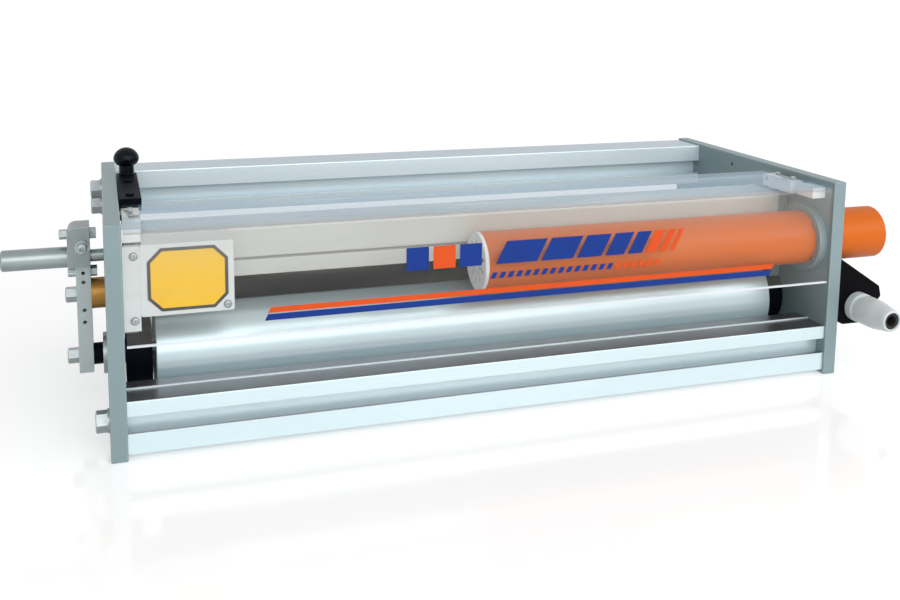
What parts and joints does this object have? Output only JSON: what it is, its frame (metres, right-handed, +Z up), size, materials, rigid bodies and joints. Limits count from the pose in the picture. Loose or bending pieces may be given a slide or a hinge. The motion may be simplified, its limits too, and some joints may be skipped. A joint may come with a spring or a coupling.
{
  "type": "corona treatment machine",
  "caption": "Corona treater: two side plates on slotted rails carry a polished roller, a swinging electrode housing, an exhaust pipe and a hinged clear cover.",
  "frame": {"origin": "middle of the treating roller's axis", "axes": "+X along the roller to the exhaust side, +Y from the covered front to the back rail, +Z up"},
  "size_m": [1.249, 0.516, 0.3303],
  "materials": {
    "plate_metal": "satin blue-grey",
    "rail_aluminium": "satin anodised",
    "fastener_steel": "zinc plated",
    "shaft_steel": "ground",
    "roller_polish": "polished",
    "black_metal": "black oxide, satin",
    "brass_metal": "turned",
    "housing_paint": "smooth light grey",
    "blade_aluminium": "machined",
    "white_plastic": "matte",
    "lever_steel": "milled",
    "pipe_orange": "semi-matte orange",
    "cover_clear": "clear polycarbonate, slightly blue",
    "knob_black": "glossy",
    "box_white": "smooth white",
    "inlet_black": "fine texture",
    "gland_grey": "semi-gloss pale grey",
    "seal_rubber": "matte"
  },
  "bodies": {
    "frame": {"back_rail": "rail_aluminium", "collar_screws": "fastener_steel", "cover_rests": "white_plastic", "exhaust_pipe": "pipe_orange", "front_rail": "rail_aluminium", "gland_body": "gland_grey", "gland_nut": "gland_grey", "gland_seal": "seal_rubber", "hinge_pins": "shaft_steel", "inlet_box": "inlet_black", "intake_grille": "white_plastic", "latch_guide": "black_metal", "latch_guide_screws": "fastener_steel", "left_side_plate": "plate_metal", "lid_screw": "fastener_steel", "mounting_strip": "box_white", "pipe_collar": "plate_metal", "pivot_spacer": "black_metal", "rail_bolts": "fastener_steel", "rail_washers": "fastener_steel", "right_side_plate": "plate_metal", "roller_shaft": "shaft_steel", "shaft_end_bolts": "fastener_steel", "shaft_flanges": "shaft_steel", "strip_screws": "fastener_steel", "terminal_box": "box_white", "terminal_lid": "box_white"},
    "roller": {"roller_shell": "roller_polish", "roller_end_cap_left": "rail_aluminium", "roller_end_cap_right": "rail_aluminium", "roller_bearing_left": "shaft_steel", "roller_bearing_right": "shaft_steel"},
    "carriage": {"electrode_arm_left": "plate_metal", "electrode_arm_right": "plate_metal", "arm_hub_left": "black_metal", "arm_hub_right": "black_metal", "arm_bushes": "brass_metal", "electrode_housing": "housing_paint", "housing_end_plate_left": "housing_paint", "housing_end_plate_right": "housing_paint", "electrode_blades": "blade_aluminium", "electrode_insulators": "white_plastic", "lever_bar": "lever_steel", "clamp_block": "lever_steel", "carriage_shaft": "shaft_steel", "handle_rod": "lever_steel", "clamp_screw": "fastener_steel", "clamp_ring": "fastener_steel", "lever_cap_screws": "fastener_steel", "lever_nuts": "fastener_steel", "brass_bush": "brass_metal", "bush_bolt": "fastener_steel"},
    "cover": {"cover_sheet": "cover_clear", "cover_lug_left": "white_plastic", "cover_lug_right": "white_plastic", "cover_lug_screws": "fastener_steel"},
    "latch": {"latch_bar": "black_metal"},
    "knob": {"latch_knob": "knob_black", "knob_stud": "shaft_steel"}
  },
  "joints": [
    {"name": "roller_spin", "type": "hinge", "parent": "frame", "child": "roller", "pos_m": [0, 0, 0], "axis": [1, 0, 0], "continuous": true},
    {"name": "electrode_swing", "type": "hinge", "parent": "frame", "child": "carriage", "pos_m": [0, 0, 0], "axis": [-1, 0, 0], "range_deg": [0, 35]},
    {"name": "cover_hinge", "type": "hinge", "parent": "frame", "child": "cover", "pos_m": [0, -0.021, 0.188], "axis": [-1, 0, 0], "range_deg": [0, 100]},
    {"name": "latch_slide", "type": "slide", "parent": "frame", "child": "latch", "axis": [0, 1, 0], "range_m": [-0.012, 0]},
    {"name": "latch_knob_turn", "type": "hinge", "parent": "latch", "child": "knob", "pos_m": [-0.48, 0.173, 0.22], "axis": [0, 0, 1], "continuous": true}
  ]
}
